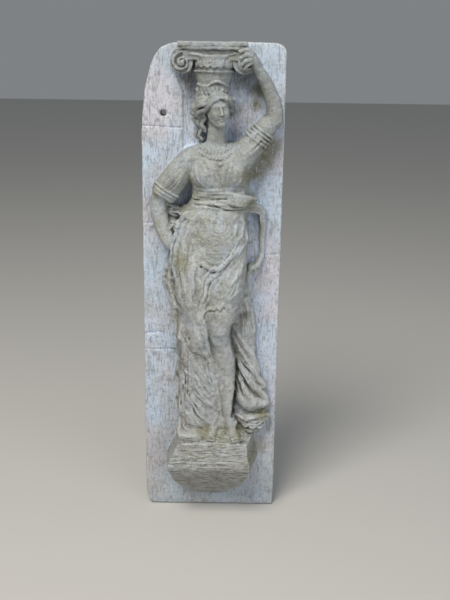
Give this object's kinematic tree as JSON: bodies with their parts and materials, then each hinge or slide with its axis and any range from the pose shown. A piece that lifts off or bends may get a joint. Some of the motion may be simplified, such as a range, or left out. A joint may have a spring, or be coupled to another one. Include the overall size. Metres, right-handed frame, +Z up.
{
  "type": "caryatid relief panel",
  "caption": "Cast relief panel of a draped standing woman on a moulded bracket, carrying an Ionic capital, on a flat upright slab.",
  "frame": {"origin": "middle of the flat back of the slab, where it lies against the wall", "axes": "+Z up along the slab, -Y out of the wall towards the viewer, +X to the viewer's right"},
  "size_m": [0.129, 0.0604, 0.452],
  "materials": {
    "aged_plaster": "matt aged plaster, warm on the figure, cool and chalky on the slab"
  },
  "bodies": {
    "root": {"caryatid_relief": "aged_plaster"}
  },
  "joints": []
}
